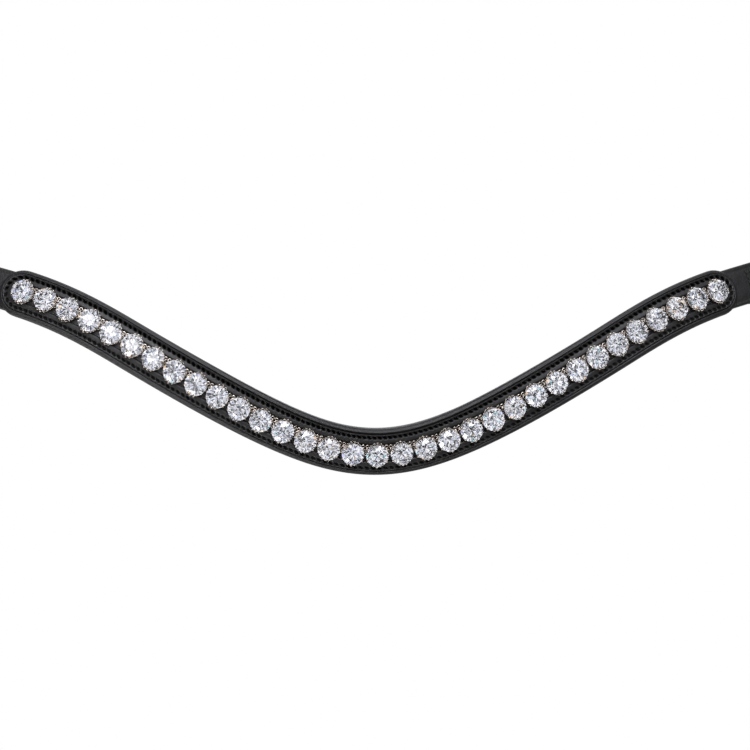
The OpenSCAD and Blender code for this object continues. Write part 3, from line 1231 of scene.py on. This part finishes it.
@dataclass
class StoneRow:
    """The row of stones in open claw settings, linked together and tacked to the base."""

    path: BandPath
    sizes: BandSizes = SIZES
    stone_d: float = 8.9
    table_d: float = 5.1
    crown_h: float = 1.4
    girdle_t: float = 0.3
    pavilion_h: float = 3.8
    lower_facet_r: float = 0.95
    facets: int = 8
    # clear is the stone's own colour; the next ones are painted light: cool painted shade and
    # painted colour fire, with their shares.
    clear: Triple = (0.94, 0.93, 0.95)
    shade_grey: Triple = (0.64, 0.68, 0.79)
    fire_light: tuple[Triple, ...] = (
        (1.0, 0.55, 0.25),
        (1.0, 0.75, 0.45),
        (0.35, 0.85, 0.95),
        (0.45, 0.5, 1.0),
    )
    fire_light_share: float = 0.10
    shade_grey_share: float = 0.40
    table_shade_grey: float = 0.35
    tilt: float = 1.6
    seed: int = 7
    claw_count: int = 6
    claw_t: float = 0.35
    claw_w: float = 0.7
    claw_tip_l: float = 0.5
    foot_h: float = 0.9
    gallery_h: float = 0.6
    gallery_lift: float = 2.2
    point_lift: float = 0.6
    stone_fit: float = 0.08
    link_rings: int = 3
    link_wire: float = 0.45
    link_fit: float = 0.1
    link_lift: float = 0.95
    tack_d: float = 0.4
    arches: int = 20
    lace_wire: float = 0.42
    ring_rows: int = 3
    ring_wire: float = 0.42
    ring_height: float = 1.2
    ring_shift: float = 1.2

    def spots(self) -> np.ndarray:
        """Distances along the band at which the stones sit."""
        k = np.arange(self.sizes.stone_count)
        return (k - (self.sizes.stone_count - 1) / 2) * self.sizes.stone_pitch

    def brilliant(self) -> tuple[np.ndarray, list[list[int]]]:
        """A round brilliant of eight-fold symmetry, its point at the origin and its table up.

        Rings of points for the table, the star facets, both edges of the girdle and the
        lower facets are joined by flat facets.

        Returns:
            The points, and the facets as lists of corners.
        """
        count, step = self.facets, 2 * np.pi / self.facets
        r, table = self.stone_d / 2, self.table_d / 2
        star_r = (table * np.cos(step / 2) + r) / 2
        star_z = self.crown_h * (r - star_r * np.cos(step / 2)) / (r - table)
        lower_z = self.pavilion_h * self.lower_facet_r * np.cos(step / 2) / r
        top = self.pavilion_h + self.girdle_t
        whole, half = np.arange(count) * step, np.arange(2 * count) * step / 2
        rings = [
            (whole, table, top + self.crown_h),
            (whole + step / 2, star_r, top + star_z),
            (half, r, top),
            (half, r, self.pavilion_h),
            (whole + step / 2, self.lower_facet_r, lower_z),
            (np.zeros(1), 0.0, 0.0),
        ]
        points = np.concatenate(
            [np.stack([q * np.cos(a), q * np.sin(a), z + 0 * a], -1) for a, q, z in rings]
        )
        star, high, low, lower, tip = (count * k for k in (1, 2, 4, 6, 7))
        facets = [list(range(count))]
        for i in range(count):
            j, p, g, h = (i + 1) % count, (i - 1) % count, 2 * i, (2 * i + 2) % (2 * count)
            facets += [
                [i, star + i, j],
                [i, star + p, high + g, star + i],
                [star + i, high + g, high + g + 1],
                [star + i, high + g + 1, high + h],
                [high + g, low + g, low + g + 1, high + g + 1],
                [high + g + 1, low + g + 1, low + h, high + h],
                [lower + i, low + g + 1, low + g],
                [lower + i, low + h, low + g + 1],
                [tip, lower + i, low + g, lower + p],
            ]
        return points, facets

    def facet_shade_and_fire(self, corners: list[int], draw: np.random.Generator) -> np.ndarray:
        """A colour for each facet: clear, cool painted shade, or painted colour fire in some of
        three corners.

        The table's painted shade lies between clear and the shaded colour, so that all stones look
        alike.

        Args:
            corners: The facets' numbers of corners.
            draw: The source of chance.

        Returns:
            Colours of shape facets by 4.
        """
        count = len(corners)
        clear, shade_grey, fire_light = (np.array(c) for c in (self.clear, self.shade_grey, self.fire_light))
        chance = draw.random((count, 1))
        pick = fire_light[draw.integers(0, len(fire_light), count)]
        sides = np.array(corners)[:, None]
        colour = np.where(chance < self.shade_grey_share, shade_grey, clear)
        colour = np.where((sides == 3) & (chance < self.fire_light_share), pick, colour)
        table = (1 - self.table_shade_grey) * clear + self.table_shade_grey * shade_grey
        colour = np.where(sides == self.facets, table, colour)
        return np.concatenate([colour, np.ones((count, 1))], 1)

    def build_stones(self) -> None:
        """Makes each stone as a piece of its own, turned in its setting as it was pressed in."""
        material = CRYSTAL.build()
        points, facets = self.brilliant()
        corners = [len(facet) for facet in facets]
        draw = np.random.default_rng(self.seed)
        seat = np.array([0.0, 0.0, self.pavilion_h])
        for k, s in enumerate(self.spots(), 1):
            turn, tilt, way = np.radians(draw.random(3) * (360.0, self.tilt, 360.0))
            lean = Matrix.Rotation(tilt, 3, Vector((math.cos(way), math.sin(way), 0.0)))
            spin = Matrix.Rotation(turn, 3, "Z")
            local = (points - seat) @ np.array(lean @ spin).T + seat
            placed = self.path.mount(np.array([s]), self.sizes.floor_n + self.point_lift, local)
            name = f"stone_{k:02d}"
            mesh = bpy.data.meshes.new(name)
            mesh.from_pydata(placed[0] * MM, [], facets)
            # Each face's colour carries the painted shade and painted colour fire.
            facet_light = mesh.attributes.new("facet_painted_light", "FLOAT_COLOR", "FACE")
            facet_light.data.foreach_set("color", self.facet_shade_and_fire(corners, draw).astype(np.float32).ravel())
            mesh.materials.append(material)
            tied(name, mesh, (f"crystal_{k:02d}",), BAND)

    def claw(self) -> Shell:
        """One claw, a thin prong up the stone's side whose bead tip is pressed over its edge.

        Its path runs through points of radius and height, smoothed, and it is widest at the tip.

        Returns:
            The claw as a closed shell.
        """
        half = self.claw_t / 2
        cup = self.stone_d / 2 + self.stone_fit + half
        foot = self.sizes.foot_d / 2 - half
        girdle = self.point_lift + self.pavilion_h
        crown = self.crown_h / (self.stone_d - self.table_d) * 2
        tip_r = self.stone_d / 2 - self.claw_tip_l
        tip_z = girdle + self.girdle_t + self.claw_tip_l * crown + half
        shape = np.array(
            [
                (foot, 0.4),
                (foot + 0.1, self.foot_h),
                (cup - 0.3, girdle - 0.6),
                (cup, girdle),
                (cup, girdle + 0.3),
                (cup - 0.15, girdle + 0.55),
                (tip_r + 0.15, tip_z - 0.04),
                (tip_r, tip_z),
            ]
        )
        knots = np.linspace(0, 1, len(shape))
        t = np.linspace(0, 1, 16)
        path = np.stack([0 * t, *(np.interp(t, knots, line) for line in shape.T)], -1)
        path[1:-1] = (path[:-2] + 2 * path[1:-1] + path[2:]) / 4
        size = half * np.interp(t, [0, 0.5, 0.72, 0.86, 1.0], [1.0, 0.9, 1.1, 1.75, 0.9])
        rod = tube(path, size, 8, np.array([1.0, 0.0, 0.0]))
        spread = self.claw_w / self.claw_t
        wide = np.interp(rod.points[:, 2], [girdle - 1.5, girdle, tip_z], [1.2, 0.85 * spread, 1.1])
        rod.points[:, 0] *= wide
        return rod

    def lace(self, low: float, high: float, low_r: float, high_r: float) -> Shell:
        """A wire that runs in small arches round a setting, between two of its rings.

        Args:
            low: Height of the arches' feet.
            high: Height of their tops.
            low_r: The wire's radius about the setting at the feet.
            high_r: The same at the tops.

        Returns:
            The wire as a closed shell.
        """
        t = np.linspace(0, 2 * np.pi, 6 * self.arches, endpoint=False)
        share = np.abs(np.cos(self.arches * t / 2)) ** 0.7
        radius = low_r + (high_r - low_r) * share * np.sin(t) ** 6
        path = np.stack([radius * np.cos(t), radius * np.sin(t), low + (high - low) * share], -1)
        out = np.stack([np.cos(t), np.sin(t), 0 * t], -1)
        return wire(path, out, self.lace_wire / 2, 5)

    def setting(self) -> Shell:
        """One setting: foot ring, gallery ring, openwork, and claws 60 degrees from each other.

        Returns:
            The setting, its foot on Z 0.
        """
        foot, wall = self.sizes.foot_d / 2, self.claw_t
        ring = arc(0, 0, 1.0, 0, 315, 8)
        foot_ring = turned(
            ring * (wall / 2, self.foot_h / 2) + (foot - wall / 2, self.foot_h / 2), 36
        )
        girdle = self.point_lift + self.pavilion_h
        cup = self.stone_d / 2 + self.stone_fit
        lift = self.gallery_lift + self.gallery_h / 2
        middle = foot + (cup - foot) * (lift - self.foot_h) / (girdle - self.foot_h) - wall / 4
        gallery = turned(ring * (wall / 2, self.gallery_h / 2) + (middle, lift), 36)
        lace = [
            self.lace(self.foot_h - 0.1, lift, foot - wall / 2, middle),
            self.lace(girdle - 1.6, girdle - 0.7, cup - 0.3, cup + 0.5),
        ]
        claws = []
        for k in range(self.claw_count):
            claw = self.claw()
            spin = np.array(Matrix.Rotation(2 * math.pi * k / self.claw_count, 3, "Z"))
            claws.append(Shell(claw.points @ spin.T, claw.faces))
        return joined([foot_ring, gallery, *lace, *claws])

    @property
    def link_w(self) -> float:
        """Width of a link's oval ring, whose hole takes a tack with its clearance."""
        return 2 * self.link_wire + self.tack_d + 2 * self.link_fit

    def link(self) -> Shell:
        """One link: rows of two small oval wire rings that lie flat between two settings.

        Returns:
            The link about its middle on the channel's floor.
        """
        reach = self.sizes.stone_pitch - self.sizes.foot_d - 2 * self.link_fit
        width = self.link_rings * (self.link_w + self.link_fit) - self.link_fit
        long, wide = reach / 2, width / self.ring_rows
        round_way = arc(0, 0, 1.0, 0, 330, 12)
        half = np.array([long - self.ring_wire, wide - self.ring_wire]) / 2
        flat = np.zeros((len(round_way), 1))
        path = np.concatenate([round_way * half, flat + self.link_wire / 2], 1)
        out = np.concatenate([round_way * half[::-1], flat], 1)
        out /= -np.linalg.norm(out, axis=1, keepdims=True)
        ring = wire(path, out, self.ring_wire / 2, 6)
        made = []
        for row in range(self.ring_rows):
            w = self.ring_shift + (row - (self.ring_rows - 1) / 2) * wide
            for x in (-long / 2, long / 2):
                made.append(Shell(ring.points + (x, w, self.ring_height), ring.faces))
        return joined(made)

    def tack(self) -> Shell:
        """One thread tack over the lowest wire of a link, into the base leather on both sides.

        Returns:
            The tack about the link's middle.
        """
        leg, top = (self.link_w - self.link_wire) / 2, self.link_wire + self.tack_d / 2
        lowest = self.link_lift - (self.link_rings - 1) / 2 * (self.link_w + self.link_fit)
        t = np.linspace(0, np.pi, 13)
        path = np.stack(
            [0 * t, lowest - leg - leg * np.cos(t), top * np.sqrt(np.sin(t)) - 0.15], -1
        )
        return tube(path, np.full(13, self.tack_d / 2), 6, np.array([1.0, 0.0, 0.0]))

    def build(self) -> None:
        """Makes the stones and the metal and thread that hold them."""
        self.build_stones()
        silver, black = SILVER.build(), BLACK_THREAD.build()
        spots = self.spots()
        between = (spots[1:] + spots[:-1]) / 2
        rows = (
            ("claw_setting_row", self.setting(), spots, silver, "silver_metal", "claw_settings"),
            ("link_row", self.link(), between, silver, "silver_metal", "setting_links"),
            ("tack_row", self.tack(), between, black, "black_thread", "chain_tacks"),
        )
        for name, part, places, material, slot, node in rows:
            placed = copies(self.path.mount(places, self.sizes.floor_n, part.points), part.faces)
            Piece(name, placed, material, slot, (node,)).build()


@dataclass
class StrapLoop:
    """A strap loop: one strap from its tongue in the band, round the slot and back to its tail."""

    path: BandPath
    side: Side
    sizes: BandSizes = SIZES
    slot_l: float = 32.0
    slot_gap: float = 10.0
    tail_l: float = 6.0
    tail_start: float = 3.0
    flex_run: float = 2.6
    edge_r: float = 0.7
    crease_inset: float = 1.7
    crease_half: float = 0.35
    crease_depth: float = 0.14
    thin_end: float = 0.45
    grain: float = 0.8
    edge_smooth: float = 0.7
    stitch_rows: int = 2
    stitch_half: float = 0.47
    stitch_slant: float = 0.25
    stitch_rise: float = 0.5
    stitch_sink: float = 0.35
    thread_slim: float = 1.1
    tail_face: float = 2.875

    @property
    def tail_end(self) -> float:
        """Distance from the flex line to where the tail leaves the strap."""
        return self.tail_start + self.tail_l

    def flex_frame(self) -> tuple[np.ndarray, np.ndarray, np.ndarray, np.ndarray]:
        """The flex line's middle, and the directions along, out of and across the strap.

        Returns:
            A point in millimetres and three unit vectors.
        """
        z = self.sizes
        along, across, outward = self.path.frame(np.array(z.flex_s))
        return self.path.place(z.flex_s, 0.0, z.pad_n + z.strap_t / 2), along, outward, across

    def centre_line(self) -> tuple[np.ndarray, np.ndarray, np.ndarray]:
        """The strap's middle in the plane of the loop, from the flex line to the tail.

        Straight runs and arcs follow each other: out along the front, round the fold, back
        behind the slot, and in an S to the tail under the front run.

        Returns:
            Points, unit directions and the share of the strap's thickness at each.
        """
        gap, t = self.slot_gap, self.sizes.strap_t
        fold_r, bend_r = (gap + t) / 2, gap / 2
        fold_x = self.tail_end + gap / 2 + t / 2 + self.slot_l - gap / 2
        low = -gap - t
        back_x = self.tail_end + 2 * bend_r
        close = np.linspace(0.4, 6.0, 14)
        front = np.concatenate([close, np.linspace(7.5, fold_x - 0.5, 20)])
        back = np.linspace(fold_x - 0.5, back_x + 0.5, 14)
        tail = np.linspace(self.tail_end - 0.3, self.tail_start, 10)
        runs = [
            np.stack([front, 0 * front], -1),
            arc(fold_x, -fold_r, fold_r, 90, -90, 25),
            np.stack([back, 0 * back + low], -1),
            arc(back_x, low + bend_r, bend_r, 270, 180, 13),
            arc(back_x - 2 * bend_r, low + bend_r, bend_r, 0, 90, 13)[1:],
            np.stack([tail, 0 * tail - t - 0.03], -1),
        ]
        points = np.concatenate(runs)
        way = np.gradient(points, axis=0)
        way /= np.linalg.norm(way, axis=1, keepdims=True)
        share = np.ones(len(points))
        share[-len(tail):] = np.linspace(1.0, self.thin_end, len(tail))
        return points, way, share

    def section(self) -> tuple[np.ndarray, np.ndarray]:
        """Half-round edges and two pressed crease lines, as points of width and thickness.

        Returns:
            The points, and how much each is on a cut edge.
        """
        wide, thick, edge = self.sizes.strap_w / 2, self.sizes.strap_t / 2, self.edge_r
        crease, half = wide - self.crease_inset, self.crease_half
        spread = [-wide + edge + 0.2, -crease - half, -crease, -crease + half, -3.0, 0.0]
        w = np.array(spread + [-v for v in spread[-2::-1]])
        face = thick - self.crease_depth * np.exp(-(((np.abs(w) - crease) / 0.2) ** 2))
        points = np.concatenate(
            [
                np.stack([w, face], -1),
                arc(wide - edge, thick - edge, edge, 90, 0, 6),
                arc(wide - edge, -thick + edge, edge, 0, -90, 6),
                np.stack([w[::-1], -face], -1),
                arc(-wide + edge, -thick + edge, edge, 270, 180, 6),
                arc(-wide + edge, thick - edge, edge, 180, 90, 6),
            ]
        )
        return points, smooth_step((np.abs(points[:, 0]) - wide + 0.6) / 0.4)

    def strap(self) -> Shell:
        """The whole strap: the section carried along the tongue and then round the loop.

        Returns:
            The strap as a closed shell.
        """
        z = self.sizes
        s = np.linspace(z.band_end - z.tongue_l, z.flex_s, 44)
        _, across, outward = self.path.frame(s)
        tongue = self.path.place(s, 0.0, z.pad_n + z.strap_t / 2)
        origin, along, out, wide = self.flex_frame()
        line, way, share = self.centre_line()
        loop = origin + line[:, :1] * along + line[:, 1:] * out
        loop_out = way[:, :1] * out - way[:, 1:] * along
        spine = np.concatenate([tongue, loop])
        u = np.concatenate([across, np.broadcast_to(wide, loop.shape)])
        v = np.concatenate([outward, loop_out])
        thin = np.concatenate([np.linspace(0.6, 1.0, len(s)) ** 0.2, share])[:, None]
        points, edge = self.section()
        half = z.strap_t / 2
        depth = -half + (points[None, :, 1] + half) * thin
        rings = spine[:, None] + points[None, :, :1] * u[:, None] + depth[..., None] * v[:, None]
        caps = [np.broadcast_to(end.mean(0), (1, len(points), 3)) for end in (rings[0], rings[-1])]
        grid = np.concatenate([caps[0], rings, caps[1]]) * (self.side.value, 1, 1)
        faces = grid_faces(len(grid), len(points), False, True)
        grain = self.grain - self.edge_smooth * edge
        return marked(grid, faces, grain, edge, 0.0).welded().outward()

    def stitches(self) -> Shell:
        """Two rows of stitches across the sewn tail, on both its faces.

        Returns:
            The stitches as closed rods.
        """
        z = self.sizes
        rows, rings, sides = self.stitch_rows, 9, 7
        count = math.floor((z.strap_w - 2 * z.stitch_pitch) / z.stitch_pitch)
        q = np.linspace(0, 1, rings)
        hump = np.sqrt(np.clip(np.sin(np.pi * q), 0, None))
        origin, along, out, wide = self.flex_frame()
        mirror = np.array([self.side.value, 1, 1])
        radius = np.full(rings, z.thread_d / (2 * self.thread_slim))
        made = []
        for row in range(1, rows + 1):
            x = self.tail_start + self.tail_l * row / (rows + 1) + self.stitch_slant * (1 - 2 * q)
            for k in range(count):
                across = (k - (count - 1) / 2 + self.stitch_half * (2 * q - 1)) * z.stitch_pitch
                for face, way in ((z.strap_t / 2, 1.0), (-self.tail_face, -1.0)):
                    y = face + way * (self.stitch_rise * hump - self.stitch_sink)
                    line = np.stack([x, y, across], -1)
                    path = origin + line @ np.stack([along, out, wide])
                    made.append(tube(path * mirror, radius, sides, out * mirror))
        return joined(made)

    def build(self) -> None:
        """Makes the strap, which bends from the band to the loop, and its stitching."""
        word = self.side.word
        loop = f"{word}_loop"
        origin, along, _, _ = self.flex_frame()
        nodes = (loop, f"{loop}_tongue")
        black = BLACK_LEATHER.build()
        made = Piece(f"{word}_strap", self.strap(), black, "black_leather", nodes, "").build()
        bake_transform(made)
        thread = BLACK_THREAD.build()
        node = (f"{loop}_stitching",)
        Piece(f"{word}_strap_thread", self.stitches(), thread, "black_thread", node, loop).build()


@dataclass(frozen=True)
class Lamp:
    """A square soft lamp: its place and side in metres, its power and its light's colour."""

    name: str
    spot: Triple
    size: float
    watts: float
    colour: Triple

    def build(self, aim: Triple) -> None:
        """Makes the lamp, facing a point, unseen by the camera and through glass.

        Args:
            aim: The point that it faces.
        """
        data = bpy.data.lights.new(self.name, "AREA")
        data.size = self.size
        data.energy = self.watts
        data.color = self.colour
        lamp = bpy.data.objects.new(self.name, data)
        lamp.location = self.spot
        away = Vector(self.spot) - Vector(aim)
        lamp.rotation_euler = away.to_track_quat("Z", "Y").to_euler()
        lamp.visible_camera = lamp.visible_transmission = False
        bpy.context.scene.collection.objects.link(lamp)


@dataclass
class Studio:
    """White paper sweep, soft lamps, dim room and the camera of the photograph's view."""

    floor_z: float = -0.6
    wall_y: float = 2.6
    width: float = 7.0
    sweep_r: float = 0.8
    front_y: float = -0.3
    wall_h: float = 2.6
    azimuth: float = -5.4
    elevation: float = 16.5
    roll: float = 1.33
    distance: float = 1.1
    aim: Triple = (0.0, -0.0041, 0.030)
    off_centre: tuple[float, float] = (-0.00106, 0.00094)
    lens: float = 135.4
    clip: tuple[float, float] = (0.05, 50.0)
    room: float = 0.15
    room_through_glass: tuple[float, float] = (0.04, 1.6)
    room_patches: float = 5.0
    patch_edges: tuple[float, float] = (0.42, 0.58)
    room_colour: Triple = (0.97, 0.975, 1.0)
    lamps: tuple[Lamp, ...] = (
        Lamp("key_lamp", (0.05, -1.0, 1.14), 0.9, 12.0, (0.95, 0.95, 1.0)),
        Lamp("left_lamp", (-0.55, -0.46, -0.60), 0.45, 4.0, (1.0, 0.96, 0.98)),
        Lamp("window_lamp", (-0.16, -1.28, 0.80), 0.65, 4.2, (0.95, 0.95, 1.0)),
        Lamp("top_lamp", (0.0, 0.6, 1.4), 1.8, 6.0, (0.93, 0.96, 1.0)),
        Lamp("back_lamp", (0.3, 1.3, 0.45), 1.2, 9.0, (0.95, 0.97, 1.0)),
    )

    def build_sweep(self) -> None:
        """The floor and wall in one sheet: a straight run, a quarter turn and a rise."""
        centre = (self.wall_y - self.sweep_r, self.floor_z + self.sweep_r)
        line = np.concatenate(
            [
                [[self.front_y, self.floor_z]],
                arc(*centre, self.sweep_r, -90, 0, 16),
                [[self.wall_y, self.wall_h]],
            ]
        )
        x = np.array([-self.width / 2, self.width / 2])
        points = np.stack(
            [x[None] + 0 * line[:, :1], line[:, :1] + 0 * x[None], line[:, 1:] + 0 * x[None]], -1
        )
        shell = Shell(points.reshape(-1, 3), grid_faces(len(line), 2, False, False))
        mesh = bpy.data.meshes.new("paper_sweep")
        mesh.from_pydata(shell.points, [], shell.faces.tolist())
        mesh.polygons.foreach_set("use_smooth", np.full(len(mesh.polygons), True))
        mesh.materials.append(PAPER.build())
        sheet = bpy.data.objects.new("paper_sweep", mesh)
        bpy.context.scene.collection.objects.link(sheet)

    def build_world(self) -> None:
        """The room: white to the camera, in light and dark parts through glass, else dim."""
        world = bpy.data.worlds.new("room")
        world.use_nodes = True
        tree = world.node_tree
        way = tree.nodes.new("ShaderNodeTexCoord")
        patches = tree.nodes.new("ShaderNodeTexNoise")
        patches.inputs["Scale"].default_value = self.room_patches
        patches.inputs["Detail"].default_value = 1.0
        tree.links.new(way.outputs["Generated"], patches.inputs["Vector"])
        ramp = tree.nodes.new("ShaderNodeValToRGB")
        stops = zip(ramp.color_ramp.elements, self.patch_edges, self.room_through_glass)
        for stop, edge, light in stops:
            stop.position = edge
            stop.color = (*(light * c for c in self.room_colour), 1.0)
        tree.links.new(patches.outputs["Fac"], ramp.inputs["Fac"])
        rays = tree.nodes.new("ShaderNodeLightPath")
        glass, camera = (tree.nodes.new("ShaderNodeMix") for _ in range(2))
        glass.data_type = camera.data_type = "RGBA"
        glass.inputs[6].default_value = (*(self.room * c for c in self.room_colour), 1.0)
        camera.inputs[7].default_value = (1.0, 1.0, 1.0, 1.0)
        tree.links.new(rays.outputs["Is Transmission Ray"], glass.inputs[0])
        tree.links.new(ramp.outputs["Color"], glass.inputs[7])
        tree.links.new(rays.outputs["Is Camera Ray"], camera.inputs[0])
        tree.links.new(glass.outputs[2], camera.inputs[6])
        tree.links.new(camera.outputs[2], tree.nodes["Background"].inputs["Color"])
        bpy.context.scene.world = world

    def build_camera(self) -> None:
        """The camera at the photograph's angle, with its roll and its aim beside the middle."""
        a, e, r = (math.radians(v) for v in (self.azimuth, self.elevation, self.roll))
        back = Vector((math.sin(a) * math.cos(e), -math.cos(a) * math.cos(e), math.sin(e)))
        right = Vector((math.cos(a), math.sin(a), 0.0))
        up = back.cross(right)
        turned_right = math.cos(r) * right + math.sin(r) * up
        turned_up = math.cos(r) * up - math.sin(r) * right
        aim = Vector(self.aim) + self.off_centre[0] * turned_right + self.off_centre[1] * turned_up
        data = bpy.data.cameras.new("camera")
        data.lens = self.lens
        data.clip_start, data.clip_end = self.clip
        camera = bpy.data.objects.new("camera", data)
        turn = Matrix((turned_right, turned_up, back)).transposed()
        camera.matrix_world = Matrix.Translation(aim + self.distance * back) @ turn.to_4x4()
        bpy.context.scene.collection.objects.link(camera)
        bpy.context.scene.camera = camera

    def build(self) -> None:
        """Makes the whole set."""
        self.build_camera()
        self.build_sweep()
        self.build_world()
        for lamp in self.lamps:
            lamp.build(self.aim)
        bpy.context.scene.view_settings.view_transform = "Standard"


def corners(box: tuple[Vector, Vector]) -> list[list[float]]:
    """A box's two corners as plain lists."""
    return [list(corner) for corner in box]


def main() -> None:
    """Builds the band's pieces in order."""
    logging.basicConfig(level=logging.INFO, format="%(name)s %(message)s")
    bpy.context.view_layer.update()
    Studio().build()
    path, seam = BandPath(Wave(), SIZES), Seam()
    LeatherBand(path, seam).build()
    SeamThread(path, seam).build()
    StoneRow(path).build()
    for side in Side:
        StrapLoop(path, side).build()


if __name__ == "__main__":
    main()
